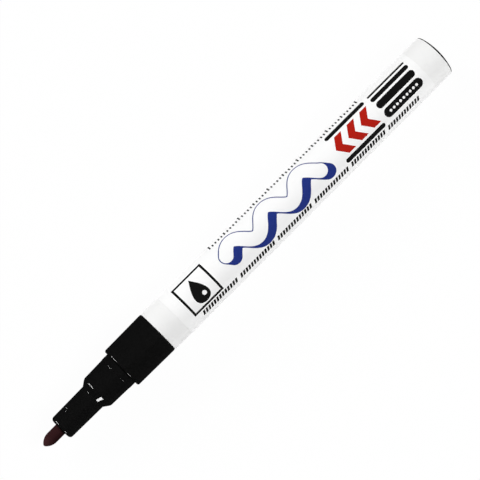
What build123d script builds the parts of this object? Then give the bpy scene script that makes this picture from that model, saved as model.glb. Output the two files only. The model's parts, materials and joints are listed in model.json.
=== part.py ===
"""Valve-action paint marker, lying on its side with its cap off.

The marker's axis runs along +X, from the nib's tip to the plugged tail of the barrel. +Z is up.
Each piece is turned about the X axis with stations counted from the nib's tip, and is then moved so
that the origin is under the middle of the marker, on the surface that it lies on.
All sizes are in millimetres.
"""

import math
import os

from build123d import *

# Nib: a pressed fibre rod with a bullet end
NIB_DIAMETER = 3.1
NIB_EXPOSED = 5.6
NIB_TIP_RADIUS = 0.5
NIB_OGIVE_RADIUS = 3.4
NIB_REAR_CHAMFER = 0.25

# Nib holder: slim tube, conical shoulder, tapered neck with a straight land for a cap, plug behind
TUBE_FRONT_DIAMETER = 6.5
TUBE_REAR_DIAMETER = 6.8
TUBE_LENGTH = 10.75
TUBE_EDGE_RADIUS = 0.85
SHOULDER_LENGTH = 1.6
SHOULDER_EDGE_RADIUS = 0.3
NECK_FRONT_DIAMETER = 9.05
NECK_REAR_DIAMETER = 9.36
NECK_LENGTH = 6.05
CAP_LAND_STEP = 0.07
CAP_LAND_LENGTH = 1.9
PLUG_DIAMETER = 8.0
PLUG_LENGTH = 6.0
PLUG_EDGE_RADIUS = 0.3
MOUTH_LENGTH = 2.5
GUIDE_CHANNEL_DEPTH = 0.6
GUIDE_RIB_WIDTH = 0.8
GUIDE_RIB_COUNT = 4
CHAMBER_LEAD = 3.75

# Front collar: the black ring between the holder and the barrel, with a spigot inside the barrel
COLLAR_LENGTH = 12.35
COLLAR_SETBACK = 0.02
COLLAR_DRAFT = 0.14
COLLAR_FRONT_EDGE_RADIUS = 0.5
COLLAR_REAR_EDGE_RADIUS = 0.3
SPIGOT_LENGTH = 9.0
SPIGOT_EDGE_RADIUS = 0.3
SPIGOT_WALL = 0.7
WEB_THICKNESS = 1.5

# Barrel: an aluminium tube, open at both ends
BARREL_DIAMETER = 11.8
BARREL_WALL = 0.4
BARREL_LENGTH = 94.85
BARREL_MOUTH_RADIUS = 0.12
BARREL_TAIL_RADIUS = 0.1

# Tail plug: a stopper in the barrel's rear end, closed by a low domed flange
TAIL_FLANGE_SETBACK = 0.1
TAIL_FLANGE_RIM = 0.23
TAIL_FLANGE_EDGE_RADIUS = 0.12
TAIL_CROWN_RADIUS = 17.0
TAIL_STOPPER_LENGTH = 2.84

# Label: a film wrapped round the barrel, whose edges leave a bare strip along the underside
LABEL_THICKNESS = 0.1
LABEL_FRONT_MARGIN = 5.5
LABEL_TAIL_MARGIN = 5.6
LABEL_SEAM_GAP = 1.2

# Gasket between the spigot and the barrel
GASKET_SECTION = 0.6
GASKET_GROOVE_WIDTH = 0.8
GASKET_SETBACK = 2.6

# Valve: body, seat seal, stem, spring and spring retainer
PRESS_TRAVEL = 1.8
PRESS_STOP_MARGIN = 0.05
SOCKET_WALL = 0.75
SOCKET_DEPTH = 3.5
SOCKET_FLOOR = 1.2
STEM_DIAMETER = 2.4
TENON_DIAMETER = 1.6
HEAD_THICKNESS = 1.2
STEM_TAIL_LENGTH = 3.0
VALVE_BODY_WALL = 0.78
VALVE_FRONT_WALL = 2.0
SEAL_THICKNESS = 0.8
SPRING_WIRE = 0.4
SPRING_LENGTH = 6.0
SPRING_TURNS = 6
SPRING_STEPS_PER_TURN = 4
RETAINER_THICKNESS = 2.0
RETAINER_RING_WALL = 0.5
RETAINER_SPOKE_WIDTH = 0.9
RETAINER_SPOKE_COUNT = 4

# Mixing ball: one loose steel ball that stirs the paint
BALL_DIAMETER = 6.0

# Clearances
FIT_CLEARANCE = 0.02
NIB_CLEARANCE = 0.07
MOVING_CLEARANCE = 0.35
FLOW_GAP = 0.5
BALL_CLEARANCE = 0.05

# Radii that follow from the sizes above
NIB_R = NIB_DIAMETER / 2
MOUTH_R = NIB_R + NIB_CLEARANCE
GUIDE_R = MOUTH_R + GUIDE_CHANNEL_DEPTH
CAP_LAND_R = NECK_REAR_DIAMETER / 2 + CAP_LAND_STEP
PLUG_R = PLUG_DIAMETER / 2
SOCKET_R = NIB_R + SOCKET_WALL
CHAMBER_R = SOCKET_R + MOVING_CLEARANCE
BARREL_R = BARREL_DIAMETER / 2
BORE_R = BARREL_R - BARREL_WALL
LABEL_R = BARREL_R + LABEL_THICKNESS
COLLAR_REAR_R = BARREL_R - COLLAR_SETBACK
COLLAR_FRONT_R = COLLAR_REAR_R - COLLAR_DRAFT
SPIGOT_R = BORE_R - FIT_CLEARANCE
GROOVE_R = BORE_R - GASKET_SECTION
VALVE_BORE_R = GROOVE_R - SPIGOT_WALL
VALVE_BODY_R = VALVE_BORE_R - FIT_CLEARANCE
VALVE_CHAMBER_R = VALVE_BODY_R - VALVE_BODY_WALL
STEM_R = STEM_DIAMETER / 2
TENON_R = TENON_DIAMETER / 2
SEAT_R = STEM_R + FLOW_GAP
HEAD_R = VALVE_CHAMBER_R - FLOW_GAP
RETAINER_R = VALVE_CHAMBER_R - FIT_CLEARANCE
SPRING_R = (STEM_R + HEAD_R) / 2
HUB_R = SPRING_R + SPRING_WIRE
BALL_R = BALL_DIAMETER / 2
TAIL_FLANGE_R = BARREL_R - TAIL_FLANGE_SETBACK
TAIL_STOPPER_R = BORE_R - FIT_CLEARANCE

# Stations along the axis, counted from the nib's tip
TUBE_FRONT = NIB_EXPOSED
TUBE_REAR = TUBE_FRONT + TUBE_LENGTH
NECK_FRONT = TUBE_REAR + SHOULDER_LENGTH
LAND_FRONT = NECK_FRONT + NECK_LENGTH
COLLAR_FRONT = LAND_FRONT + CAP_LAND_LENGTH
PLUG_REAR = COLLAR_FRONT + PLUG_LENGTH
WEB_REAR = PLUG_REAR + WEB_THICKNESS
BARREL_FRONT = COLLAR_FRONT + COLLAR_LENGTH
SPIGOT_REAR = BARREL_FRONT + SPIGOT_LENGTH
BARREL_REAR = BARREL_FRONT + BARREL_LENGTH
TAIL_STOPPER_FRONT = BARREL_REAR - TAIL_STOPPER_LENGTH
TAIL_RIM = BARREL_REAR + TAIL_FLANGE_RIM
TAIL_CROWN_CENTRE = TAIL_RIM - math.sqrt(TAIL_CROWN_RADIUS**2 - TAIL_FLANGE_R**2)
TAIL = TAIL_CROWN_CENTRE + TAIL_CROWN_RADIUS
LABEL_FRONT = BARREL_FRONT + LABEL_FRONT_MARGIN
LABEL_REAR = BARREL_REAR - LABEL_TAIL_MARGIN
SOCKET_REAR = PLUG_REAR - PRESS_TRAVEL - PRESS_STOP_MARGIN
NIB_REAR = SOCKET_REAR - SOCKET_FLOOR
SOCKET_FRONT = NIB_REAR - SOCKET_DEPTH
GUIDE_REAR = SOCKET_FRONT - CHAMBER_LEAD
SEAT = WEB_REAR + VALVE_FRONT_WALL
HEAD_FRONT = SEAT + SEAL_THICKNESS
HEAD_REAR = HEAD_FRONT + HEAD_THICKNESS
SPRING_REAR = HEAD_REAR + SPRING_LENGTH
RETAINER_REAR = SPRING_REAR + RETAINER_THICKNESS
VALVE_BODY_REAR = RETAINER_REAR
GASKET = BARREL_FRONT + GASKET_SETBACK
BALL_FRONT_STOP = max(SPIGOT_REAR, VALVE_BODY_REAR) + BALL_R + BALL_CLEARANCE
BALL_TAIL_STOP = TAIL_STOPPER_FRONT - BALL_R - BALL_CLEARANCE
BALL_REST = (BALL_FRONT_STOP + BALL_TAIL_STOP) / 2
BALL_DROP = BORE_R - BALL_R - BALL_CLEARANCE

# Where the marker lies in its own frame, resting on the label's two edges
AXIS_HEIGHT = math.sqrt(LABEL_R**2 - (LABEL_SEAM_GAP / 2) ** 2)
MIDDLE = TAIL / 2


def turned(corners, rounds=()):
    """Solid turned about the X axis from (station, radius) corners; rounds are (corner, radius) pairs."""
    profile = make_face(Polyline(*corners, close=True))
    for corner, radius in rounds:
        vertex = profile.vertices().sort_by_distance(Vector(*corner))[0]
        profile = fillet(vertex, radius)
    return revolve(profile, Axis.X)


def ring(front, rear, inner, outer):
    """Plain turned ring between two stations and two radii."""
    return turned([(front, inner), (rear, inner), (rear, outer), (front, outer)])


def rod(front, rear, radius):
    """Plain turned rod between two stations."""
    return ring(front, rear, 0, radius)


def spokes(front, rear, inner, outer, width, count):
    """Radial bars, evenly spaced about the X axis, each from the inner to the outer radius."""
    middle = ((front + rear) / 2, 0, (inner + outer) / 2)
    bar = Pos(*middle) * Box(rear - front, width, outer - inner)
    return [Rot(X=360 / count * index) * bar for index in range(count)]


def make_nib():
    """Fibre rod whose tip is a small sphere that runs into a long ogive."""
    arc_depth = NIB_OGIVE_RADIUS - NIB_R
    reach = NIB_OGIVE_RADIUS - NIB_TIP_RADIUS
    tip_to_ogive = math.sqrt(reach**2 - arc_depth**2)
    ogive_end = NIB_TIP_RADIUS + tip_to_ogive
    lean = math.atan2(arc_depth, tip_to_ogive)

    def on_tip(angle):
        return (NIB_TIP_RADIUS * (1 - math.cos(angle)), NIB_TIP_RADIUS * math.sin(angle))

    def on_ogive(angle):
        station = ogive_end - NIB_OGIVE_RADIUS * math.cos(angle)
        return (station, NIB_OGIVE_RADIUS * math.sin(angle) - arc_depth)

    tip_arc = ThreePointArc(on_tip(0), on_tip(lean / 2), on_tip(lean))
    ogive_middle = on_ogive((lean + math.pi / 2) / 2)
    ogive_arc = ThreePointArc(on_tip(lean), ogive_middle, (ogive_end, NIB_R))
    shank = Polyline(
        (ogive_end, NIB_R),
        (NIB_REAR - NIB_REAR_CHAMFER, NIB_R),
        (NIB_REAR, NIB_R - NIB_REAR_CHAMFER),
        (NIB_REAR, 0),
        (0, 0),
    )
    return revolve(make_face([tip_arc, ogive_arc, *shank.edges()]), Axis.X)


def make_nib_holder():
    """Tube, shoulder, neck and cap land in one moulding, bored for the nib and the socket behind it."""
    shoulder_foot = (TUBE_REAR, TUBE_REAR_DIAMETER / 2)
    shoulder_top = (NECK_FRONT, NECK_FRONT_DIAMETER / 2)
    tube_edge = (TUBE_FRONT, TUBE_FRONT_DIAMETER / 2)
    plug_edge = (PLUG_REAR, PLUG_R)
    holder = turned(
        [
            (TUBE_FRONT, MOUTH_R),
            tube_edge,
            shoulder_foot,
            shoulder_top,
            (LAND_FRONT, NECK_REAR_DIAMETER / 2),
            (LAND_FRONT, CAP_LAND_R),
            (COLLAR_FRONT, CAP_LAND_R),
            (COLLAR_FRONT, PLUG_R),
            plug_edge,
            (PLUG_REAR, CHAMBER_R),
            (GUIDE_REAR, CHAMBER_R),
            (GUIDE_REAR, GUIDE_R),
            (TUBE_FRONT + MOUTH_LENGTH, GUIDE_R),
            (TUBE_FRONT + MOUTH_LENGTH, MOUTH_R),
        ],
        rounds=[
            (tube_edge, TUBE_EDGE_RADIUS),
            (shoulder_foot, SHOULDER_EDGE_RADIUS),
            (shoulder_top, SHOULDER_EDGE_RADIUS),
            (plug_edge, PLUG_EDGE_RADIUS),
        ],
    )
    rib_outer = (GUIDE_R + TUBE_FRONT_DIAMETER / 2) / 2
    ribs = spokes(
        TUBE_FRONT + MOUTH_LENGTH, GUIDE_REAR, 0, rib_outer, GUIDE_RIB_WIDTH, GUIDE_RIB_COUNT
    )
    nib_path = rod(TUBE_FRONT, PLUG_REAR, MOUTH_R)
    return holder.fuse(*[rib - nib_path for rib in ribs])


def make_front_collar():
    """Ring between holder and barrel; its spigot fills the barrel's mouth and carries the valve."""
    front_edge = (COLLAR_FRONT, COLLAR_FRONT_R)
    rear_edge = (BARREL_FRONT, COLLAR_REAR_R)
    spigot_edge = (SPIGOT_REAR, SPIGOT_R)
    plug_bore = PLUG_R + FIT_CLEARANCE
    return turned(
        [
            (COLLAR_FRONT, plug_bore),
            front_edge,
            rear_edge,
            (BARREL_FRONT, SPIGOT_R),
            (GASKET - GASKET_GROOVE_WIDTH / 2, SPIGOT_R),
            (GASKET - GASKET_GROOVE_WIDTH / 2, GROOVE_R),
            (GASKET + GASKET_GROOVE_WIDTH / 2, GROOVE_R),
            (GASKET + GASKET_GROOVE_WIDTH / 2, SPIGOT_R),
            spigot_edge,
            (SPIGOT_REAR, VALVE_BORE_R),
            (WEB_REAR, VALVE_BORE_R),
            (WEB_REAR, SEAT_R),
            (PLUG_REAR, SEAT_R),
            (PLUG_REAR, plug_bore),
        ],
        rounds=[
            (front_edge, COLLAR_FRONT_EDGE_RADIUS),
            (rear_edge, COLLAR_REAR_EDGE_RADIUS),
            (spigot_edge, SPIGOT_EDGE_RADIUS),
        ],
    )


def make_barrel():
    """Drawn tube with an even wall and softened outer edges at both ends."""
    mouth_edge = (BARREL_FRONT, BARREL_R)
    tail_edge = (BARREL_REAR, BARREL_R)
    return turned(
        [(BARREL_FRONT, BORE_R), mouth_edge, tail_edge, (BARREL_REAR, BORE_R)],
        rounds=[(mouth_edge, BARREL_MOUTH_RADIUS), (tail_edge, BARREL_TAIL_RADIUS)],
    )


def make_tail_plug():
    """Stopper in the barrel's rear end; its domed flange rests on the end of the barrel's wall."""
    halfway = math.asin(TAIL_FLANGE_R / TAIL_CROWN_RADIUS) / 2
    crown_middle = (
        TAIL_CROWN_CENTRE + TAIL_CROWN_RADIUS * math.cos(halfway),
        TAIL_CROWN_RADIUS * math.sin(halfway),
    )
    rim = (TAIL_RIM, TAIL_FLANGE_R)
    crown = ThreePointArc((TAIL, 0), crown_middle, rim)
    sides = Polyline(
        rim,
        (BARREL_REAR, TAIL_FLANGE_R),
        (BARREL_REAR, TAIL_STOPPER_R),
        (TAIL_STOPPER_FRONT, TAIL_STOPPER_R),
        (TAIL_STOPPER_FRONT, 0),
        (TAIL, 0),
    )
    profile = make_face([crown, *sides.edges()])
    rim_corner = profile.vertices().sort_by_distance(Vector(*rim))[0]
    return revolve(fillet(rim_corner, TAIL_FLANGE_EDGE_RADIUS), Axis.X)


def make_label():
    """Film sleeve, open along the underside where its two edges stop short of each other."""
    film = ring(LABEL_FRONT, LABEL_REAR, BARREL_R + FIT_CLEARANCE / 2, LABEL_R)
    length = LABEL_REAR - LABEL_FRONT
    middle = (LABEL_FRONT + LABEL_REAR) / 2
    return film - Pos(middle, 0, -LABEL_R) * Box(length, LABEL_SEAM_GAP, LABEL_R)


def make_gasket():
    """Rubber ring in the spigot's groove, pressed against the barrel's bore."""
    section = GASKET_SECTION / 2 - FIT_CLEARANCE
    profile = Pos(GASKET, (GROOVE_R + BORE_R) / 2) * Circle(section)
    return revolve(profile, Axis.X)


def make_nib_socket():
    """Cup that holds the nib's rear end and is pressed on the stem's tenon."""
    bore = NIB_R + FIT_CLEARANCE
    hole = TENON_R + FIT_CLEARANCE
    return turned(
        [
            (SOCKET_FRONT, bore),
            (SOCKET_FRONT, SOCKET_R),
            (SOCKET_REAR, SOCKET_R),
            (SOCKET_REAR, hole),
            (NIB_REAR, hole),
            (NIB_REAR, bore),
        ]
    )


def make_valve_stem():
    """Tenon, rod, sealing head and spring guide in one turned pin."""
    stem_tail = HEAD_REAR + STEM_TAIL_LENGTH
    return turned(
        [
            (NIB_REAR, 0),
            (NIB_REAR, TENON_R),
            (SOCKET_REAR, TENON_R),
            (SOCKET_REAR, STEM_R),
            (HEAD_FRONT, STEM_R),
            (HEAD_FRONT, HEAD_R),
            (HEAD_REAR, HEAD_R),
            (HEAD_REAR, STEM_R),
            (stem_tail, STEM_R),
            (stem_tail, 0),
        ]
    )


def make_valve_body():
    """Cup with a holed front wall, pressed into the spigot's bore."""
    return turned(
        [
            (WEB_REAR, SEAT_R),
            (WEB_REAR, VALVE_BODY_R),
            (VALVE_BODY_REAR, VALVE_BODY_R),
            (VALVE_BODY_REAR, VALVE_CHAMBER_R),
            (SEAT, VALVE_CHAMBER_R),
            (SEAT, SEAT_R),
        ]
    )


def make_valve_seal():
    """Rubber washer on the seat, against which the stem's head closes."""
    return ring(SEAT, HEAD_FRONT, SEAT_R, VALVE_CHAMBER_R - FIT_CLEARANCE)


def biarc(start, start_way, end, end_way):
    """Two arcs that leave start along start_way, reach end along end_way and meet without a kink."""
    span = end - start
    both = start_way + end_way
    turn = 2 * (1 - start_way.dot(end_way))
    reach = (math.sqrt(span.dot(both) ** 2 + turn * span.dot(span)) - span.dot(both)) / turn
    meet = (start + end + (start_way - end_way) * reach) / 2
    first = TangentArc(start, meet, tangent=start_way)
    return [first, TangentArc(meet, end, tangent=first % 1)]


def make_valve_spring():
    """Open wire coil between the stem's head and the retainer's hub."""
    front = HEAD_REAR + SPRING_WIRE / 2 + FIT_CLEARANCE
    rear = SPRING_REAR - SPRING_WIRE / 2 - FIT_CLEARANCE
    pitch = (rear - front) / SPRING_TURNS
    steps = SPRING_TURNS * SPRING_STEPS_PER_TURN

    def turned_by(step):
        return 2 * math.pi * step / SPRING_STEPS_PER_TURN

    def place(step):
        angle = turned_by(step)
        station = front + pitch * step / SPRING_STEPS_PER_TURN
        return Vector(station, SPRING_R * math.cos(angle), SPRING_R * math.sin(angle))

    def way(step):
        angle = turned_by(step)
        rise = pitch / (2 * math.pi)
        return Vector(rise, -SPRING_R * math.sin(angle), SPRING_R * math.cos(angle)).normalized()

    arcs = []
    for step in range(steps):
        arcs += biarc(place(step), way(step), place(step + 1), way(step + 1))
    points = [place(step) for step in range(steps + 1)]
    apart = SPRING_STEPS_PER_TURN // 2
    nearest = min((b - a).length for i, a in enumerate(points) for b in points[i + apart :])
    print(f"valve spring: least gap between turns {nearest - SPRING_WIRE:.2f} mm")
    section = Plane(origin=place(0), z_dir=way(0)) * Circle(SPRING_WIRE / 2)
    return sweep(section, path=Wire(arcs))


def make_spring_retainer():
    """Hub and rim joined by spokes, so that paint flows past the spring."""
    hub = ring(SPRING_REAR, RETAINER_REAR, STEM_R + FLOW_GAP / 2, HUB_R)
    rim_inner = RETAINER_R - RETAINER_RING_WALL
    rim = ring(SPRING_REAR, RETAINER_REAR, rim_inner, RETAINER_R)
    overlap = RETAINER_RING_WALL / 2
    arms = spokes(
        SPRING_REAR,
        RETAINER_REAR,
        HUB_R - overlap,
        rim_inner + overlap,
        RETAINER_SPOKE_WIDTH,
        RETAINER_SPOKE_COUNT,
    )
    return hub.fuse(rim, *arms)


def make_mixing_ball():
    """Steel ball lying on the lowest line of the barrel's bore."""
    return Pos(BALL_REST, 0, -BALL_DROP) * Sphere(BALL_R)


MAKERS = {
    "barrel_tube": make_barrel,
    "tail_plug": make_tail_plug,
    "label_film": make_label,
    "front_collar": make_front_collar,
    "barrel_gasket": make_gasket,
    "nib_holder": make_nib_holder,
    "nib": make_nib,
    "nib_socket": make_nib_socket,
    "valve_stem": make_valve_stem,
    "valve_body": make_valve_body,
    "valve_seal": make_valve_seal,
    "valve_spring": make_valve_spring,
    "spring_retainer": make_spring_retainer,
    "mixing_ball": make_mixing_ball,
}


def main():
    os.makedirs("parts", exist_ok=True)
    for name, make in MAKERS.items():
        piece = Pos(-MIDDLE, 0, AXIS_HEIGHT) * make()
        export_step(piece, f"parts/{name}.step")


if __name__ == "__main__":
    main()
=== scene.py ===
"""Looks of a slim valve-action paint marker that lies on its side with its cap off.

Stations are millimetres from the nib's tip along the marker's axis, radii are millimetres from that axis,
and angles about the axis are counted from straight up towards +Y. MM turns millimetres into metres.
"""

import json
import math

import bmesh
import bpy
from mathutils import Matrix, Quaternion, Vector


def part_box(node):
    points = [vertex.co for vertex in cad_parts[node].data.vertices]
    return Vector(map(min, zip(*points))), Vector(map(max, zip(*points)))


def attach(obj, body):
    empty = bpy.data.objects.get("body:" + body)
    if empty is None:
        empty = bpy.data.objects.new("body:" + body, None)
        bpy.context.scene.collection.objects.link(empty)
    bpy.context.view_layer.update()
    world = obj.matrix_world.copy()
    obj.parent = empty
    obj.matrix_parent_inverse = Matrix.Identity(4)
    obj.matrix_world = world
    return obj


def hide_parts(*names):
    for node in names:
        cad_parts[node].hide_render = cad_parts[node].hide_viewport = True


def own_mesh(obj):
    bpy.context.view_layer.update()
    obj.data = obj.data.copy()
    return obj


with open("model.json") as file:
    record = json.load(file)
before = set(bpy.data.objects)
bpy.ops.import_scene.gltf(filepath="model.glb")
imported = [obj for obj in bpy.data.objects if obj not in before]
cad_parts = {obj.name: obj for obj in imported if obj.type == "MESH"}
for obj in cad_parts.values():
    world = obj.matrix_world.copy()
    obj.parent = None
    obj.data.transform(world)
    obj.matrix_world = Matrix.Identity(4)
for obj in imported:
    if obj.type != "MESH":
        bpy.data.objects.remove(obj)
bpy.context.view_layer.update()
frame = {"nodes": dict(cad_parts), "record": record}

MM = 0.001


def named(rows, name):
    """Row of the part's record that has a name."""
    return next(row for row in rows if row["name"] == name)


def in_mm(metres):
    """Length in millimetres, to a hundredth."""
    return round(metres / MM, 2)


def reach(node):
    """Front station, rear station and widest radius of a CAD node."""
    low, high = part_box(node)
    return [in_mm(length) for length in (low.x - TIP_X, high.x - TIP_X, high.y)]


# Sizes that come from the frame
AXIS_Z = named(frame["record"]["mounts"], "barrel_grip")["pos_m"][2]
TIP_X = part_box("nib")[0].x
_, NIB_REAR, NIB_R = reach("nib")
TUBE_FRONT, PLUG_REAR, LAND_R = reach("nib_holder")
COLLAR_FRONT, SPIGOT_REAR, COLLAR_R = reach("front_collar")
BARREL_FRONT, BARREL_REAR, BARREL_R = reach("barrel_tube")
TAIL_STOPPER_FRONT, TAIL, TAIL_FLANGE_R = reach("tail_plug")
LABEL_FRONT, LABEL_REAR, LABEL_R = reach("label_film")
VALVE_FRONT, _, _ = reach("valve_body")
SPRING_FRONT, SPRING_REAR, SPRING_OUTER_R = reach("valve_spring")
GASKET_FRONT, GASKET_REAR, _ = reach("barrel_gasket")

# Nib, in millimetres; a fibre wave has a number of ridges and a twist in radians per millimetre
NIB_TIP_RADIUS = 0.5
NIB_OGIVE_RADIUS = 3.4
NIB_REAR_CHAMFER = 0.25
FIBRE_DEPTH = 0.012
FIBRE_WAVES = ((31, 0), (19, 1), (47, -2))

# Painted light on the nib, in millimetres: across it, the line up to which its -Y side is painted in shade;
# from its tip, the length over which a painted sheen grows towards the tip; then the shares of lit side,
# tip sheen and strands
SHADE_END_ACROSS = -0.3
TIP_SHEEN_LENGTH = 2.6
LIT_SIDE_SHARE = 0.45
TIP_SHEEN_SHARE = 0.75
STRAND_SHARE = 0.25

# Nib holder, in millimetres
TUBE_FRONT_R = 3.25
TUBE_REAR_R = 3.4
TUBE_REAR = 16.35
TUBE_EDGE_RADIUS = 0.85
NECK_FRONT = 17.95
NECK_FRONT_R = 4.525
NECK_REAR_R = 4.68
LAND_FRONT = 24.0
LAND_SLOPE = math.radians(31)
LAND_EDGE_RADIUS = 0.25
SHOULDER_FOOT_RADIUS = 0.15
SHOULDER_TOP_RADIUS = 1.2
MOUTH_R = 1.62
MOUTH_LENGTH = 2.5
MOUTH_EDGE_RADIUS = 0.05
GUIDE_R = 2.22
GUIDE_RIB_WIDTH = 0.8
GUIDE_RIB_COUNT = 4
CHAMBER_FRONT = 21.6
CHAMBER_R = 2.65
PLUG_R = 4.0
PLUG_EDGE_RADIUS = 0.3

# Ring that the mould's gate left on the nib tube, in millimetres
GATE_STATION = 9.7
GATE_ANGLE = math.radians(40)
GATE_RADIUS = 0.42
GATE_GROOVE = 0.14
GATE_DEPTH = 0.07

# Collar, barrel, tail plug and spring, in millimetres
FIT_CLEARANCE = 0.02
COLLAR_FRONT_R = 5.74
COLLAR_FRONT_EDGE_RADIUS = 0.5
COLLAR_REAR_EDGE_RADIUS = 0.38
PLUG_BORE_R = PLUG_R + FIT_CLEARANCE
SPIGOT_R = 5.48
SPIGOT_EDGE_RADIUS = 0.3
GROOVE_R = 4.9
GROOVE_SPARE = 0.12
VALVE_BORE_R = 4.2
SEAT_R = 1.7
BARREL_WALL = 0.4
BARREL_MOUTH_RADIUS = 0.12
BARREL_TAIL_RADIUS = 0.1
TAIL_CROWN_RADIUS = 17.0
TAIL_FLANGE_EDGE_RADIUS = 0.12
SPRING_WIRE_R = 0.2
SPRING_TURNS = 6

# Label film, a little inside its CAD solid so that the ink on it stays inside too, in millimetres
FILM_INSET = 0.015
FILM_R = LABEL_R - FILM_INSET
FILM_BORE_GAP = 0.01
FILM_BORE_R = BARREL_R + FILM_BORE_GAP
FILM_EDGE_RADIUS = 0.03
SEAM_GAP = 1.2
INK_INSET = 0.004
INK_TOP_R = LABEL_R - INK_INSET
INK_SINK = 0.002

# Fineness of the meshes; the flat print is in millimetres, and the merge of finished meshes in metres
TURN_STEPS = 192
ARC_STEPS = 8
OGIVE_STEPS = 24
CROWN_STEPS = 16
GATE_STEPS = 36
COIL_STEPS_PER_TURN = 64
BALL_SUBDIVISIONS = 5
SMALLEST_R = 0.002
MERGE_DISTANCE = 1e-7
FLAT_MERGE_DISTANCE = 1e-5
FLAT_CUT_TOLERANCE = 1e-6
SHARP_ANGLE = math.radians(25)

# Part of a noise's range over which a finish runs from its low to its high value
NOISE_RANGE = (0.3, 0.7)


def rounded(corners):
    """Outline points from (station, radius) corners, rounded where a third number gives an edge radius."""
    points = []
    for index, corner in enumerate(corners):
        here = Vector(corner[:2])
        if len(corner) < 3:
            points.append(here)
            continue
        before = (Vector(corners[index - 1][:2]) - here).normalized()
        after = (Vector(corners[(index + 1) % len(corners)][:2]) - here).normalized()
        half = before.angle(after) / 2
        centre = here + (before + after).normalized() * (corner[2] / math.sin(half))
        start = here + before * (corner[2] / math.tan(half)) - centre
        end = here + after * (corner[2] / math.tan(half)) - centre
        for step in range(ARC_STEPS + 1):
            way = start.lerp(end, step / ARC_STEPS).normalized()
            points.append(centre + way * corner[2])
    return points


def arc(centre, radius, first, last, steps=ARC_STEPS):
    """Points of an arc in the outline's plane, with angles counted from the tail's direction."""
    angles = [first + (last - first) * step / steps for step in range(steps + 1)]
    return [centre + radius * Vector((math.cos(angle), math.sin(angle))) for angle in angles]


def on_axis(station, radius, angle):
    """Place in metres of a point given by station, radius and angle about the marker's axis."""
    across = Vector((0, math.sin(angle), math.cos(angle)))
    return Vector((TIP_X, 0, AXIS_Z)) + MM * (Vector((station, 0, 0)) + radius * across)


def add_piece(name, mesh, material, body, node=None):
    """Object for a finished mesh that rides on a body, takes a material and may stand for a CAD node."""
    piece = bpy.data.objects.new(name, mesh)
    bpy.context.scene.collection.objects.link(piece)
    mesh.materials.clear()
    mesh.materials.append(material)
    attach(piece, body)
    if node:
        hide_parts(node)
    return piece


def finish_mesh(name, maker):
    """Mesh with outward faces, smooth but for its sharp edges."""
    bmesh.ops.remove_doubles(maker, verts=maker.verts, dist=MERGE_DISTANCE)
    bmesh.ops.recalc_face_normals(maker, faces=maker.faces)
    mesh = bpy.data.meshes.new(name)
    maker.to_mesh(mesh)
    maker.free()
    mesh.shade_smooth()
    mesh.set_sharp_from_angle(angle=SHARP_ANGLE)
    return mesh


def turn_angles():
    """Even angles of a whole turn."""
    return [2 * math.pi * step / TURN_STEPS for step in range(TURN_STEPS)]


def turned(name, outline, angles=None, whole=True, reshape=None):
    """Closed mesh turned from an outline, all the way round or from the first angle to the last."""
    angles = angles or turn_angles()
    maker = bmesh.new()
    rows = []
    for station, radius in outline:
        if radius < SMALLEST_R:
            rows.append([maker.verts.new(on_axis(station, 0, 0))] * len(angles))
            continue
        bent = [reshape(station, radius, angle) if reshape else radius for angle in angles]
        row = [maker.verts.new(on_axis(station, r, angle)) for r, angle in zip(bent, angles)]
        rows.append(row)
    spans = len(angles) if whole else len(angles) - 1
    for row, following in zip(rows, rows[1:] + rows[:1]):
        for step in range(spans):
            beside = (step + 1) % len(angles)
            ring = [row[step], row[beside], following[beside], following[step]]
            corners = list(dict.fromkeys(ring))
            if len(corners) > 2:
                maker.faces.new(corners)
    if not whole:
        maker.faces.new([row[0] for row in rows])
        maker.faces.new([row[-1] for row in rows])
    return finish_mesh(name, maker)


def new_material(name, colour, roughness, **constants):
    """Material whose shader starts from plain values; a constant's name has _ in place of a space."""
    made = bpy.data.materials.new(name)
    made.use_nodes = True
    sockets = made.node_tree.nodes["Principled BSDF"].inputs
    sockets["Base Color"].default_value = (*colour, 1)
    sockets["Roughness"].default_value = roughness
    for socket, value in constants.items():
        sockets[socket.replace("_", " ")].default_value = value
    return made


def grain(made, size, stretch=1, detail=4):
    """Noise with features of a size in millimetres, drawn out by a factor along the marker's axis."""
    nodes, links = made.node_tree.nodes, made.node_tree.links
    coords = nodes.new("ShaderNodeTexCoord")
    sizing = nodes.new("ShaderNodeMapping")
    sizing.inputs["Scale"].default_value = (1 / stretch, 1, 1)
    noise = nodes.new("ShaderNodeTexNoise")
    noise.inputs["Scale"].default_value = 1 / (size * MM)
    noise.inputs["Detail"].default_value = detail
    links.new(coords.outputs["Object"], sizing.inputs["Vector"])
    links.new(sizing.outputs["Vector"], noise.inputs["Vector"])
    return noise.outputs["Fac"]


def vary_colour(made, factor, low, high, between=NOISE_RANGE):
    """Base colour that runs from one colour to another with a factor."""
    nodes, links = made.node_tree.nodes, made.node_tree.links
    ramp = nodes.new("ShaderNodeValToRGB")
    for element, stop, colour in zip(ramp.color_ramp.elements, between, (low, high)):
        element.position = stop
        element.color = (*colour, 1)
    links.new(factor, ramp.inputs["Fac"])
    links.new(ramp.outputs["Color"], nodes["Principled BSDF"].inputs["Base Color"])


def vary_roughness(made, factor, low, high):
    """Roughness that runs from one value to another with a factor."""
    nodes, links = made.node_tree.nodes, made.node_tree.links
    spread = nodes.new("ShaderNodeMapRange")
    spread.inputs["From Min"].default_value, spread.inputs["From Max"].default_value = NOISE_RANGE
    spread.inputs["To Min"].default_value = low
    spread.inputs["To Max"].default_value = high
    links.new(factor, spread.inputs["Value"])
    links.new(spread.outputs["Result"], nodes["Principled BSDF"].inputs["Roughness"])


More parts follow.
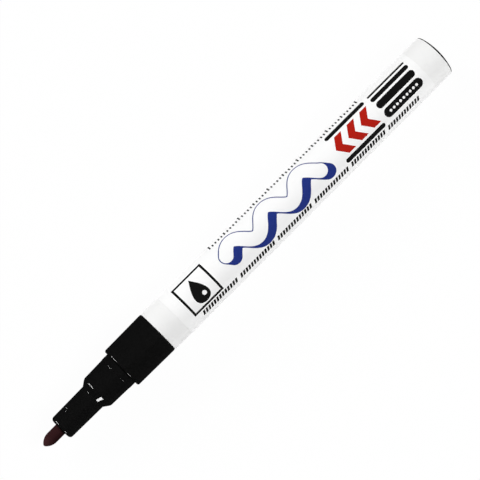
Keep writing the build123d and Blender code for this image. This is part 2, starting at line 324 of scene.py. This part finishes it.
def relief(made, factor, height):
    """Fine relief of a height in millimetres, on the surface and on its coat."""
    nodes, links = made.node_tree.nodes, made.node_tree.links
    bump = nodes.new("ShaderNodeBump")
    bump.inputs["Distance"].default_value = height * MM
    links.new(factor, bump.inputs["Height"])
    for socket in ("Normal", "Coat Normal"):
        links.new(bump.outputs["Normal"], nodes["Principled BSDF"].inputs[socket])


def grey(level):
    """Neutral colour."""
    return (level, level, level)


def black_plastic():
    """Black moulded plastic that stays dark up to its edges, under a faint gloss."""
    gloss = {"Specular_IOR_Level": 0.0, "Coat_Weight": 0.01, "Coat_IOR": 2.6, "Coat_Roughness": 0.07}
    made = new_material("black_plastic", colour=grey(0.0023), roughness=0.6, **gloss)
    vary_colour(made, grain(made, size=1.5), low=grey(0.002), high=grey(0.0026))
    vary_roughness(made, grain(made, size=0.4), low=0.54, high=0.66)
    relief(made, grain(made, size=0.08, detail=2), height=0.0003)
    return made


def white_enamel():
    """White enamel on drawn aluminium, with the faint ripple of a sprayed coat."""
    made = new_material("white_enamel", colour=grey(0.83), roughness=0.3, Specular_IOR_Level=0.15)
    vary_colour(made, grain(made, size=6), low=(0.825, 0.825, 0.82), high=(0.835, 0.835, 0.83))
    vary_roughness(made, grain(made, size=1.2), low=0.26, high=0.36)
    relief(made, grain(made, size=0.7, detail=2), height=0.0015)
    return made


def printed_film():
    """White film, softly glossy, drawn a little along the barrel."""
    made = new_material("printed_film", colour=grey(0.89), roughness=0.3, Specular_IOR_Level=0.15)
    vary_colour(made, grain(made, size=5, stretch=3), low=(0.886, 0.886, 0.884), high=grey(0.896))
    vary_roughness(made, grain(made, size=0.8, stretch=4), low=0.26, high=0.34)
    relief(made, grain(made, size=1.5, stretch=6, detail=2), height=0.002)
    return made


def ink(name, thin, full):
    """Printing ink whose cover varies a little from spot to spot."""
    made = new_material(name, colour=full, roughness=0.4, Specular_IOR_Level=0.05)
    vary_colour(made, grain(made, size=0.5), low=thin, high=full)
    vary_roughness(made, grain(made, size=0.3), low=0.34, high=0.5)
    relief(made, grain(made, size=0.12, detail=2), height=0.0008)
    return made


def shade_sheen_and_strands(made, strands):
    """Factor that rises from the nib's -Y side, painted in shade, to its lit side and to a painted sheen on
    its tip, broken up by the strands.
    """
    nodes, links = made.node_tree.nodes, made.node_tree.links
    coords = nodes.new("ShaderNodeTexCoord")
    axes = nodes.new("ShaderNodeSeparateXYZ")
    links.new(coords.outputs["Object"], axes.inputs["Vector"])
    both = nodes.new("ShaderNodeMath")
    both.operation = "ADD"
    # The -Y side is painted darker as shade, and the tip lighter as a painted sheen
    across = ("Y", -NIB_R * MM, SHADE_END_ACROSS * MM, LIT_SIDE_SHARE)
    along = ("X", TIP_X + TIP_SHEEN_LENGTH * MM, TIP_X, TIP_SHEEN_SHARE)
    for slot, (axis, darker_end, lighter_end, share) in enumerate((across, along)):
        spread = nodes.new("ShaderNodeMapRange")
        spread.inputs["From Min"].default_value = darker_end
        spread.inputs["From Max"].default_value = lighter_end
        spread.inputs["To Max"].default_value = share
        links.new(axes.outputs[axis], spread.inputs["Value"])
        links.new(spread.outputs["Result"], both.inputs[slot])
    blend = nodes.new("ShaderNodeMix")
    blend.inputs["Factor"].default_value = STRAND_SHARE
    links.new(both.outputs["Value"], blend.inputs["A"])
    links.new(strands, blend.inputs["B"])
    return blend.outputs["Result"]


def nib_fibre():
    """Pressed fibre soaked with dark paint, with lighter strands, painted shade on its -Y side and a
    painted sheen on its tip.
    """
    made = new_material("nib_fibre", colour=(0.03, 0.0108, 0.0118), roughness=0.6, Specular_IOR_Level=0.003)
    painted_light_and_strands = shade_sheen_and_strands(made, grain(made, size=0.35, stretch=12))
    # From the nib in painted shade to its lit side and painted tip sheen, with the strands in between
    darker_end, lighter_end = (0.0115, 0.0034, 0.0038), (0.055, 0.02, 0.0215)
    vary_colour(made, painted_light_and_strands, low=darker_end, high=lighter_end, between=(STRAND_SHARE / 2, 1))
    vary_roughness(made, grain(made, size=0.2, stretch=8), low=0.5, high=0.75)
    relief(made, grain(made, size=0.1, stretch=20, detail=3), height=0.006)
    return made


def valve_plastic():
    """Natural moulded plastic, slightly milky."""
    made = new_material("valve_plastic", colour=(0.82, 0.82, 0.79), roughness=0.45, Subsurface_Weight=0.1)
    vary_colour(made, grain(made, size=2), low=(0.8, 0.8, 0.77), high=(0.84, 0.84, 0.81))
    vary_roughness(made, grain(made, size=0.5), low=0.4, high=0.5)
    relief(made, grain(made, size=0.1, detail=2), height=0.001)
    return made


def seal_rubber():
    """Black rubber with a dull, slightly dusty skin."""
    made = new_material("seal_rubber", colour=grey(0.03), roughness=0.8, Specular_IOR_Level=0.3)
    vary_colour(made, grain(made, size=0.6), low=grey(0.024), high=grey(0.04))
    vary_roughness(made, grain(made, size=0.2), low=0.72, high=0.88)
    relief(made, grain(made, size=0.06, detail=3), height=0.002)
    return made


def spring_steel():
    """Drawn stainless wire."""
    metal = {"Metallic": 1.0, "Anisotropic": 0.4}
    made = new_material("spring_steel", colour=(0.6, 0.6, 0.61), roughness=0.3, **metal)
    vary_colour(made, grain(made, size=0.3), low=(0.55, 0.55, 0.56), high=(0.64, 0.64, 0.65))
    vary_roughness(made, grain(made, size=0.1), low=0.24, high=0.36)
    relief(made, grain(made, size=0.05, detail=2), height=0.0005)
    return made


def ball_steel():
    """Polished bearing steel with a faint film of smudges."""
    made = new_material("ball_steel", colour=(0.72, 0.72, 0.73), roughness=0.1, Metallic=1.0)
    vary_colour(made, grain(made, size=1.5), low=(0.7, 0.7, 0.71), high=(0.74, 0.74, 0.75))
    vary_roughness(made, grain(made, size=0.8), low=0.06, high=0.16)
    return made


def nib_outline():
    """Half section of the nib: small tip sphere, long ogive, straight rod and a chamfered rear end."""
    arc_depth = NIB_OGIVE_RADIUS - NIB_R
    tip_to_ogive = math.sqrt((NIB_OGIVE_RADIUS - NIB_TIP_RADIUS) ** 2 - arc_depth**2)
    ogive_end = NIB_TIP_RADIUS + tip_to_ogive
    lean = math.pi - math.atan2(arc_depth, tip_to_ogive)
    tip = arc(Vector((NIB_TIP_RADIUS, 0)), NIB_TIP_RADIUS, math.pi, lean)
    ogive = arc(Vector((ogive_end, -arc_depth)), NIB_OGIVE_RADIUS, lean, math.pi / 2, OGIVE_STEPS)
    straight = NIB_REAR - ogive_end - NIB_REAR_CHAMFER
    rod = [(ogive_end + straight * step / ARC_STEPS, NIB_R) for step in range(1, ARC_STEPS + 1)]
    return tip + ogive[1:] + rod + [(NIB_REAR, NIB_R - NIB_REAR_CHAMFER), (NIB_REAR, 0)]


def fibre_ridges(station, radius, angle):
    """Radius of the nib with the shallow grooves between its pressed strands."""
    waves = sum(math.sin(ridges * angle + twist * station) for ridges, twist in FIBRE_WAVES)
    fade = min(1, radius / NIB_R)
    return radius - FIBRE_DEPTH * fade * (1 + waves / len(FIBRE_WAVES)) / 2


def make_nib(material):
    """Fibre rod with a bullet tip."""
    mesh = turned("nib_rod", nib_outline(), reshape=fibre_ridges)
    add_piece("nib_rod", mesh, material, "nib_plunger", "nib")


def gate_mark(station, radius, angle):
    """Radius of the holder with the ring that the mould's gate left on the nib tube."""
    if radius < TUBE_FRONT_R - TUBE_EDGE_RADIUS:
        return radius
    turn = (angle - GATE_ANGLE + math.pi) % (2 * math.pi) - math.pi
    distance = math.hypot(station - GATE_STATION, radius * turn)
    share = (distance - GATE_RADIUS) / GATE_GROOVE
    return radius - GATE_DEPTH * max(0, 1 - share**2)


def guide_ribs(angle):
    """Radius of the guide behind the holder's mouth, with the ribs that centre the nib."""
    pitch = 2 * math.pi / GUIDE_RIB_COUNT
    turn = (angle + pitch / 2) % pitch - pitch / 2
    return MOUTH_R if abs(turn) * GUIDE_R < GUIDE_RIB_WIDTH / 2 else GUIDE_R


def holder_relief(station, radius, angle):
    """Radius of the holder at an angle, inside and out."""
    if abs(radius - GUIDE_R) < FIT_CLEARANCE:
        return guide_ribs(angle)
    return gate_mark(station, radius, angle)


def gate_spans():
    """Fine steps in millimetres from one side of the gate's ring to the other."""
    span = GATE_RADIUS + GATE_GROOVE
    return [span * (2 * step / GATE_STEPS - 1) for step in range(GATE_STEPS + 1)]


def make_holder(material):
    """Nib tube, shoulder, neck, cap land and plug, bored for the nib and the socket behind it."""
    slope = (TUBE_REAR_R - TUBE_FRONT_R) / (TUBE_REAR - TUBE_FRONT)
    spans = gate_spans()
    stations = [GATE_STATION + span for span in spans]
    gate = [(station, TUBE_FRONT_R + slope * (station - TUBE_FRONT)) for station in stations]
    spread = max(spans) / TUBE_FRONT_R
    angles = [angle for angle in turn_angles() if abs(angle - GATE_ANGLE) > spread]
    angles += [GATE_ANGLE + span / TUBE_FRONT_R for span in spans]
    land_edge = LAND_FRONT + (LAND_R - NECK_REAR_R) / math.tan(LAND_SLOPE)
    outline = rounded(
        [
            (TUBE_FRONT, MOUTH_R, MOUTH_EDGE_RADIUS),
            (TUBE_FRONT, TUBE_FRONT_R, TUBE_EDGE_RADIUS),
            *gate,
            (TUBE_REAR, TUBE_REAR_R, SHOULDER_FOOT_RADIUS),
            (NECK_FRONT, NECK_FRONT_R, SHOULDER_TOP_RADIUS),
            (LAND_FRONT, NECK_REAR_R),
            (land_edge, LAND_R, LAND_EDGE_RADIUS),
            (COLLAR_FRONT, LAND_R),
            (COLLAR_FRONT, PLUG_R),
            (PLUG_REAR, PLUG_R, PLUG_EDGE_RADIUS),
            (PLUG_REAR, CHAMBER_R),
            (CHAMBER_FRONT, CHAMBER_R),
            (CHAMBER_FRONT, GUIDE_R),
            (TUBE_FRONT + MOUTH_LENGTH, GUIDE_R),
            (TUBE_FRONT + MOUTH_LENGTH, MOUTH_R),
        ]
    )
    mesh = turned("holder_moulding", outline, sorted(angles), reshape=holder_relief)
    add_piece("holder_moulding", mesh, material, "marker_body", "nib_holder")


def make_collar(material):
    """Ring between holder and barrel, with the grooved spigot that carries the valve."""
    outline = rounded(
        [
            (COLLAR_FRONT, PLUG_BORE_R),
            (COLLAR_FRONT, COLLAR_FRONT_R, COLLAR_FRONT_EDGE_RADIUS),
            (BARREL_FRONT, COLLAR_R, COLLAR_REAR_EDGE_RADIUS),
            (BARREL_FRONT, SPIGOT_R),
            (GASKET_FRONT - GROOVE_SPARE, SPIGOT_R),
            (GASKET_FRONT - GROOVE_SPARE, GROOVE_R),
            (GASKET_REAR + GROOVE_SPARE, GROOVE_R),
            (GASKET_REAR + GROOVE_SPARE, SPIGOT_R),
            (SPIGOT_REAR, SPIGOT_R, SPIGOT_EDGE_RADIUS),
            (SPIGOT_REAR, VALVE_BORE_R),
            (VALVE_FRONT, VALVE_BORE_R),
            (VALVE_FRONT, SEAT_R),
            (PLUG_REAR, SEAT_R),
            (PLUG_REAR, PLUG_BORE_R),
        ]
    )
    mesh = turned("collar_moulding", outline)
    add_piece("collar_moulding", mesh, material, "marker_body", "front_collar")


def make_barrel(material):
    """Drawn tube with an even wall and softened outer edges at both ends."""
    outline = rounded(
        [
            (BARREL_FRONT, BARREL_R - BARREL_WALL),
            (BARREL_FRONT, BARREL_R, BARREL_MOUTH_RADIUS),
            (BARREL_REAR, BARREL_R, BARREL_TAIL_RADIUS),
            (BARREL_REAR, BARREL_R - BARREL_WALL),
        ]
    )
    mesh = turned("barrel_shell", outline)
    add_piece("barrel_shell", mesh, material, "marker_body", "barrel_tube")


def make_tail_plug(material):
    """Stopper closed by a low domed flange that rests on the end of the barrel's wall."""
    lean = math.asin(TAIL_FLANGE_R / TAIL_CROWN_RADIUS)
    crown = arc(Vector((TAIL - TAIL_CROWN_RADIUS, 0)), TAIL_CROWN_RADIUS, 0, lean, CROWN_STEPS)
    stopper_r = BARREL_R - BARREL_WALL - FIT_CLEARANCE
    outline = rounded(
        [
            *crown[:-1],
            (*crown[-1], TAIL_FLANGE_EDGE_RADIUS),
            (BARREL_REAR, TAIL_FLANGE_R),
            (BARREL_REAR, stopper_r),
            (TAIL_STOPPER_FRONT, stopper_r),
            (TAIL_STOPPER_FRONT, 0),
        ]
    )
    mesh = turned("tail_stopper", outline)
    add_piece("tail_stopper", mesh, material, "marker_body", "tail_plug")


def make_film(material):
    """Label film round the barrel, open along the underside where its edges stop short of each other."""
    outline = rounded(
        [
            (LABEL_FRONT, FILM_BORE_R),
            (LABEL_FRONT, FILM_R, FILM_EDGE_RADIUS),
            (LABEL_REAR, FILM_R, FILM_EDGE_RADIUS),
            (LABEL_REAR, FILM_BORE_R),
        ]
    )
    last = math.pi - SEAM_GAP / FILM_R / 2
    whole_turn = [angle - math.pi for angle in turn_angles()]
    inner = [angle for angle in whole_turn if abs(angle) < last]
    mesh = turned("film_sleeve", outline, [-last, *inner, last], whole=False)
    add_piece("film_sleeve", mesh, material, "marker_body", "label_film")


def make_spring(material):
    """Wire coil from the spring's front to its rear seat."""
    curve = bpy.data.curves.new("valve_coil", "CURVE")
    curve.dimensions = "3D"
    curve.bevel_depth = SPRING_WIRE_R * MM
    curve.use_fill_caps = True
    spline = curve.splines.new("POLY")
    steps = SPRING_TURNS * COIL_STEPS_PER_TURN
    spline.points.add(steps)
    length = SPRING_REAR - SPRING_FRONT
    climb = length - 2 * SPRING_WIRE_R
    for step, point in enumerate(spline.points):
        station = SPRING_FRONT + SPRING_WIRE_R + climb * step / steps
        angle = 2 * math.pi * SPRING_TURNS * step / steps
        point.co = (*on_axis(station, SPRING_OUTER_R - SPRING_WIRE_R, angle), 1)
    wire = bpy.data.objects.new("valve_wire", curve)
    mesh = bpy.data.meshes.new_from_object(wire)
    bpy.data.objects.remove(wire)
    mesh.shade_smooth()
    coil = add_piece("valve_coil", mesh, material, "marker_body", "valve_spring")
    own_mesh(coil)


def make_ball(material):
    """Loose ball on the lowest line of the barrel's bore."""
    low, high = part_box("mixing_ball")
    maker = bmesh.new()
    middle = Matrix.Translation((low + high) / 2)
    radius = (high.x - low.x) / 2
    bmesh.ops.create_icosphere(maker, subdivisions=BALL_SUBDIVISIONS, radius=radius, matrix=middle)
    mesh = finish_mesh("bearing_ball", maker)
    add_piece("bearing_ball", mesh, material, "mixing_ball", "mixing_ball")


# Print, in millimetres behind the film's front edge and across from its top line
SQUARE_FRONT = 3.2
SQUARE_REAR = 12.8
SQUARE_HALF = 4.6
SQUARE_LINE = 0.6
DROP_ACROSS = -0.2
DROP_WIDTH = 4.6
DROP_HEIGHT = 7.0
DROP_TAPER = 1.5
SHINE_ALONG = 0.75
SHINE_ACROSS = -1.55
SHINE_RADIUS = 0.6
WAVE_FRONT = 18.5
WAVE_REAR = 49.0
WAVE_PERIOD = 11.6
WAVE_SWING = 2.1
WAVE_ACROSS = 0.75
WAVE_RADIUS = 1.75
WAVE_LINE = 0.25
WAVE_SIDE = Vector((1.25, -1.5))
WAVE_STEPS = 200
WAVE_SIDE_STEPS = 8
CHEVRON_FRONT = 55.0
CHEVRON_COUNT = 3
CHEVRON_PITCH = 4.3
CHEVRON_DEPTH = 2.0
CHEVRON_HALF = 2.7
CHEVRON_WIDTH = 2.3
RAIL_REAR = 68.2
RAIL_ACROSS = 3.95
RAIL_RADIUS = 0.6
SAMPLE_FRONT = 69.5
SAMPLE_REAR = 82.0
SAMPLE_TOP = 4.3
SAMPLE_WIDTHS = (0.6, 1.2, 1.9, 2.6)
SAMPLE_GAP = 0.6
HOLE_FRONT = 71.4
HOLE_COUNT = 9
HOLE_PITCH = 1.1
HOLE_RADIUS = 0.36
TICK_FRONT = 17.0
TICK_COUNT = 51
TICK_WIDTH = 0.4
TICK_FOOT = 5.6
TICK_HEIGHT = 1.0
TICK_RISE = 0.5
STROKE_FRONT = 5.0
STROKE_COUNT = 82
STROKE_GROUP = 14
STROKE_PITCH = 0.9
STROKE_WIDTH = 0.6
STROKE_LOW = -6.5
STROKE_HIGH = -5.0
STROKE_LEAN = 0.4


def disc(along, across, radius, points=24):
    """Round outline."""
    angles = [2 * math.pi * point / points for point in range(points)]
    return [(along + radius * math.cos(a), across + radius * math.sin(a)) for a in angles]


def bar(first, last, low, high, lean=0):
    """Straight bar whose upper edge may lean towards the tail."""
    return [(first, low), (last, low), (last + lean, high), (first + lean, high)]


def capsule(first, last, across, radius, points=10):
    """Bar with round ends."""
    turns = [math.pi * point / points - math.pi / 2 for point in range(points + 1)]
    rear = [(last - radius + radius * math.cos(a), across + radius * math.sin(a)) for a in turns]
    front = [(first + radius - radius * math.cos(a), across - radius * math.sin(a)) for a in turns]
    return rear + front


def swept(path, radius, columns=280):
    """Outline of what a round tip covers along a path, from its lowest and highest reach in each column."""
    first = min(along for along, _ in path) - radius
    last = max(along for along, _ in path) + radius
    top, bottom = [], []
    for column in range(1, columns):
        along = (first + last) / 2 - (last - first) / 2 * math.cos(math.pi * column / columns)
        near = [(u, w) for u, w in path if abs(along - u) < radius]
        reaches = [(w, math.sqrt(radius**2 - (along - u) ** 2)) for u, w in near]
        top.append((along, max(w + rise for w, rise in reaches)))
        bottom.append((along, min(w - rise for w, rise in reaches)))
    return bottom + top[::-1]


def drop(along, across, width, height, points=48):
    """Outline of a paint drop that points up."""
    outline = []
    for point in range(points):
        turn = 2 * math.pi * point / points
        side = math.sin(turn) * math.sin(turn / 2) ** DROP_TAPER
        outline.append((along + width / DROP_TAPER * side, across + height / 2 * math.cos(turn)))
    return outline


def print_layer(name, outlines, material):
    """Thin closed shells of ink, cut from flat (along, across) outlines and wrapped on the film."""
    curve = bpy.data.curves.new(name, "CURVE")
    curve.dimensions = "2D"
    curve.fill_mode = "BOTH"
    curve.extrude = (INK_TOP_R - FILM_R + INK_SINK) / 2
    for outline in outlines:
        spline = curve.splines.new("POLY")
        spline.points.add(len(outline) - 1)
        for point, (along, across) in zip(spline.points, outline):
            point.co = (along, across, 0, 1)
        spline.use_cyclic_u = True
    flat = bpy.data.objects.new(name + "_flat", curve)
    maker = bmesh.new()
    maker.from_mesh(bpy.data.meshes.new_from_object(flat))
    bpy.data.objects.remove(flat)
    bmesh.ops.remove_doubles(maker, verts=maker.verts, dist=FLAT_MERGE_DISTANCE)
    # Cuts along the lines between the film's faces let the print bend as the film does
    pitch = 2 * math.pi / TURN_STEPS
    for step in range(-TURN_STEPS // 4, TURN_STEPS // 4):
        geometry = maker.verts[:] + maker.edges[:] + maker.faces[:]
        cut = {"plane_co": (0, FILM_R * pitch * step, 0), "plane_no": (0, 1, 0)}
        bmesh.ops.bisect_plane(maker, geom=geometry, dist=FLAT_CUT_TOLERANCE, **cut)
    middle_r = (INK_TOP_R + FILM_R - INK_SINK) / 2
    for vertex in maker.verts:
        along, across, rise = vertex.co
        vertex.co = on_axis(LABEL_FRONT + along, middle_r + rise, across / FILM_R)
    add_piece(name, finish_mesh(name, maker), material, "marker_body")


def wave_print():
    """White wavy stroke with a thin outline and a deep offset side."""
    path = []
    for step in range(WAVE_STEPS + 1):
        run = (WAVE_REAR - WAVE_FRONT) * step / WAVE_STEPS
        rise = WAVE_SWING * math.sin(2 * math.pi * run / WAVE_PERIOD)
        path.append(Vector((WAVE_FRONT + run, WAVE_ACROSS + rise)))
    shares = [step / WAVE_SIDE_STEPS for step in range(WAVE_SIDE_STEPS + 1)]
    whole = [point + WAVE_SIDE * share for point in path for share in shares]
    return [swept(whole, WAVE_RADIUS + WAVE_LINE), swept(path, WAVE_RADIUS)]


def chevrons_print():
    """Broad chevrons that point to the nib."""
    outlines = []
    for index in range(CHEVRON_COUNT):
        tip = CHEVRON_FRONT + CHEVRON_PITCH * index
        wing = tip + CHEVRON_DEPTH
        outlines.append(
            [
                (tip, 0),
                (wing, CHEVRON_HALF),
                (wing + CHEVRON_WIDTH, CHEVRON_HALF),
                (tip + CHEVRON_WIDTH, 0),
                (wing + CHEVRON_WIDTH, -CHEVRON_HALF),
                (wing, -CHEVRON_HALF),
            ]
        )
    return outlines


def framed_drop():
    """Square round a paint drop that has a round shine."""
    middle = (SQUARE_FRONT + SQUARE_REAR) / 2
    inside = SQUARE_HALF - SQUARE_LINE
    return [
        bar(SQUARE_FRONT, SQUARE_REAR, -SQUARE_HALF, SQUARE_HALF),
        bar(SQUARE_FRONT + SQUARE_LINE, SQUARE_REAR - SQUARE_LINE, -inside, inside),
        drop(middle, DROP_ACROSS, DROP_WIDTH, DROP_HEIGHT),
        disc(middle + SHINE_ALONG, DROP_ACROSS + SHINE_ACROSS, SHINE_RADIUS),
    ]


def rails():
    """Round-ended line on each side of the chevrons."""
    return [capsule(CHEVRON_FRONT, RAIL_REAR, side * RAIL_ACROSS, RAIL_RADIUS) for side in (1, -1)]


def line_samples():
    """Lines of growing width, with a row of round holes in the widest."""
    outlines = []
    top = SAMPLE_TOP
    for width in SAMPLE_WIDTHS:
        middle = top - width / 2
        outlines.append(capsule(SAMPLE_FRONT, SAMPLE_REAR, middle, width / 2))
        top -= width + SAMPLE_GAP
    for index in range(HOLE_COUNT):
        outlines.append(disc(HOLE_FRONT + HOLE_PITCH * index, middle, HOLE_RADIUS, points=16))
    return outlines


def ruler_ticks():
    """Ticks a millimetre apart, with every fifth longer and every tenth longest."""
    outlines = []
    for tick in range(TICK_COUNT):
        front = TICK_FRONT + tick
        height = TICK_HEIGHT + TICK_RISE * ((tick % 5 == 0) + (tick % 10 == 0))
        outlines.append(bar(front, front + TICK_WIDTH, TICK_FOOT, TICK_FOOT + height))
    return outlines


def hatched_strip():
    """Leaning strokes in groups, with the last place of each group left free."""
    outlines = []
    for stroke in range(STROKE_COUNT):
        front = STROKE_FRONT + STROKE_PITCH * stroke
        if (stroke + 1) % STROKE_GROUP:
            outlines.append(bar(front, front + STROKE_WIDTH, STROKE_LOW, STROKE_HIGH, STROKE_LEAN))
    return outlines


def make_print():
    """Three layers of ink on the film, each from its flat outlines."""
    blue = ink("ink_blue", thin=(0.018, 0.034, 0.2), full=(0.015, 0.029, 0.18))
    red = ink("ink_red", thin=(0.42, 0.0135, 0.0075), full=(0.38, 0.012, 0.0065))
    black = ink("ink_black", thin=grey(0.004), full=grey(0.002))
    print_layer("print_blue", wave_print(), blue)
    print_layer("print_red", chevrons_print(), red)
    black_outlines = framed_drop() + rails() + line_samples() + ruler_ticks() + hatched_strip()
    print_layer("print_black", black_outlines, black)


def dress_node(node, material):
    """Give a CAD node that keeps its own shape its finish."""
    mesh = frame["nodes"][node].data
    mesh.materials.clear()
    mesh.materials.append(material)


def make_pieces():
    """All pieces, and the finishes of the CAD nodes that keep their own shapes."""
    plastic = black_plastic()
    natural = valve_plastic()
    rubber = seal_rubber()
    make_nib(nib_fibre())
    make_holder(plastic)
    make_collar(plastic)
    make_barrel(white_enamel())
    make_tail_plug(plastic)
    make_film(printed_film())
    make_print()
    make_spring(spring_steel())
    for node in ("nib_socket", "valve_stem", "valve_body", "spring_retainer"):
        dress_node(node, natural)
    for node in ("barrel_gasket", "valve_seal"):
        dress_node(node, rubber)
    make_ball(ball_steel())


# Camera, light and floor, in metres and degrees, with the lens and its sensor in millimetres
TARGET = Vector((0.00065, 0.00165, AXIS_Z))
CAMERA_AZIMUTH = -45.2
CAMERA_ELEVATION = 82.8
CAMERA_DISTANCE = 0.5
CAMERA_LENS = 155.8
CAMERA_SENSOR = 36.0
LAMP_DISTANCE = 1.0
SURROUND_LIGHT = 0.02
FLOOR_HALF = 6.0
FLOOR_WHITE = 0.9
FLOOR_GLOW = 0.97


def away(azimuth, elevation):
    """Direction from the target towards a viewer or a lamp; azimuth 0 is the side of -Y."""
    a, e = math.radians(azimuth), math.radians(elevation)
    return Vector((math.sin(a) * math.cos(e), -math.cos(a) * math.cos(e), math.sin(e)))


def aim(item, direction, distance, roll=0):
    """Put a camera or lamp at a distance from the target, turned to face it and rolled by some degrees."""
    facing = (-direction).to_track_quat("-Z", "Y")
    item.location = TARGET + direction * distance
    item.rotation_euler = (facing @ Quaternion((0, 0, 1), math.radians(roll))).to_euler()
    bpy.context.scene.collection.objects.link(item)


def add_camera():
    """Camera with the photo's view."""
    lens = bpy.data.cameras.new("camera")
    lens.lens = CAMERA_LENS
    lens.sensor_width = CAMERA_SENSOR
    camera = bpy.data.objects.new("camera", lens)
    aim(camera, away(CAMERA_AZIMUTH, CAMERA_ELEVATION), CAMERA_DISTANCE)
    bpy.context.scene.camera = camera


def black_mouldings():
    """Group of the black pieces, whose edges mirror the panels."""
    group = bpy.data.collections.new("black_mouldings")
    for name in ("holder_moulding", "collar_moulding", "tail_stopper"):
        group.objects.link(bpy.data.objects[name])
    return group


def add_lamp(name, azimuth, elevation, width, height, level, roll=0, mirrored_by=None):
    """Flat lamp; level 1 lights a surface that faces it as bright as its own colour.

    A lamp mirrored by a group of pieces only shows as a reflection in their gloss, and any other lamp only
    lights matt colour.
    """
    light = bpy.data.lights.new(name, "AREA")
    light.shape = "RECTANGLE"
    light.size = width
    light.size_y = height
    light.energy = level * (math.pi * LAMP_DISTANCE) ** 2
    lamp = bpy.data.objects.new(name, light)
    lamp.visible_diffuse = not mirrored_by
    lamp.visible_glossy = bool(mirrored_by)
    lamp.light_linking.receiver_collection = mirrored_by
    aim(lamp, away(azimuth, elevation), LAMP_DISTANCE, roll)


def add_lights():
    """Three soft lamps for the matt colours, and two narrow panels for the glints of the black pieces."""
    add_lamp("lamp_left", azimuth=-163, elevation=28, width=0.5, height=0.5, level=0.865)
    add_lamp("lamp_right", azimuth=28, elevation=57, width=0.5, height=0.5, level=0.83)
    add_lamp("lamp_low", azimuth=0, elevation=10, width=0.5, height=0.15, level=0.09)
    gloss = black_mouldings()
    long_panel = {"width": 0.67, "height": 0.1, "roll": 42}
    add_lamp("panel_left", azimuth=-136, elevation=18, level=14, mirrored_by=gloss, **long_panel)
    short_panel = {"width": 0.4, "height": 0.12, "roll": -50}
    add_lamp("panel_front", azimuth=-55.5, elevation=3.5, level=7, mirrored_by=gloss, **short_panel)


def in_sight(tree):
    """Socket that is 1 for what the eye, a mirror or glass looks at, and 0 for light on a surface."""
    ray = tree.nodes.new("ShaderNodeLightPath")
    seen = ray.outputs["Is Camera Ray"]
    for kind in ("Is Glossy Ray", "Is Transmission Ray"):
        either = tree.nodes.new("ShaderNodeMath")
        either.operation = "MAXIMUM"
        tree.links.new(seen, either.inputs[0])
        tree.links.new(ray.outputs[kind], either.inputs[1])
        seen = either.outputs["Value"]
    return seen


def add_surround():
    """White studio that gives off only a little light of its own."""
    world = bpy.data.worlds.new("studio")
    bpy.context.scene.world = world
    world.use_nodes = True
    tree = world.node_tree
    strength = tree.nodes.new("ShaderNodeMapRange")
    strength.inputs["To Min"].default_value = SURROUND_LIGHT
    background = tree.nodes["Background"]
    background.inputs["Color"].default_value = (1, 1, 1, 1)
    tree.links.new(in_sight(tree), strength.inputs["Value"])
    tree.links.new(strength.outputs["Result"], background.inputs["Strength"])


def floor_paint():
    """White floor that stays white to the eye and still takes a soft shadow."""
    made = bpy.data.materials.new("floor_white")
    made.use_nodes = True
    nodes, links = made.node_tree.nodes, made.node_tree.links
    nodes.remove(nodes["Principled BSDF"])
    lit = nodes.new("ShaderNodeBsdfDiffuse")
    lit.inputs["Color"].default_value = (*grey(FLOOR_WHITE), 1)
    glow = nodes.new("ShaderNodeEmission")
    share = nodes.new("ShaderNodeMath")
    share.operation = "MULTIPLY"
    share.inputs[1].default_value = FLOOR_GLOW
    mix = nodes.new("ShaderNodeMixShader")
    links.new(in_sight(made.node_tree), share.inputs[0])
    links.new(share.outputs["Value"], mix.inputs["Fac"])
    links.new(lit.outputs["BSDF"], mix.inputs[1])
    links.new(glow.outputs["Emission"], mix.inputs[2])
    links.new(mix.outputs["Shader"], nodes["Material Output"].inputs["Surface"])
    return made


def add_floor():
    """Wide flat floor under the marker."""
    far = FLOOR_HALF
    corners = [(-far, -far, 0), (far, -far, 0), (far, far, 0), (-far, far, 0)]
    mesh = bpy.data.meshes.new("floor")
    mesh.from_pydata(corners, [], [(0, 1, 2, 3)])
    mesh.materials.append(floor_paint())
    floor = bpy.data.objects.new("floor", mesh)
    bpy.context.scene.collection.objects.link(floor)


make_pieces()
add_camera()
add_lights()
add_surround()
add_floor()
bpy.context.scene.view_settings.view_transform = "Standard"
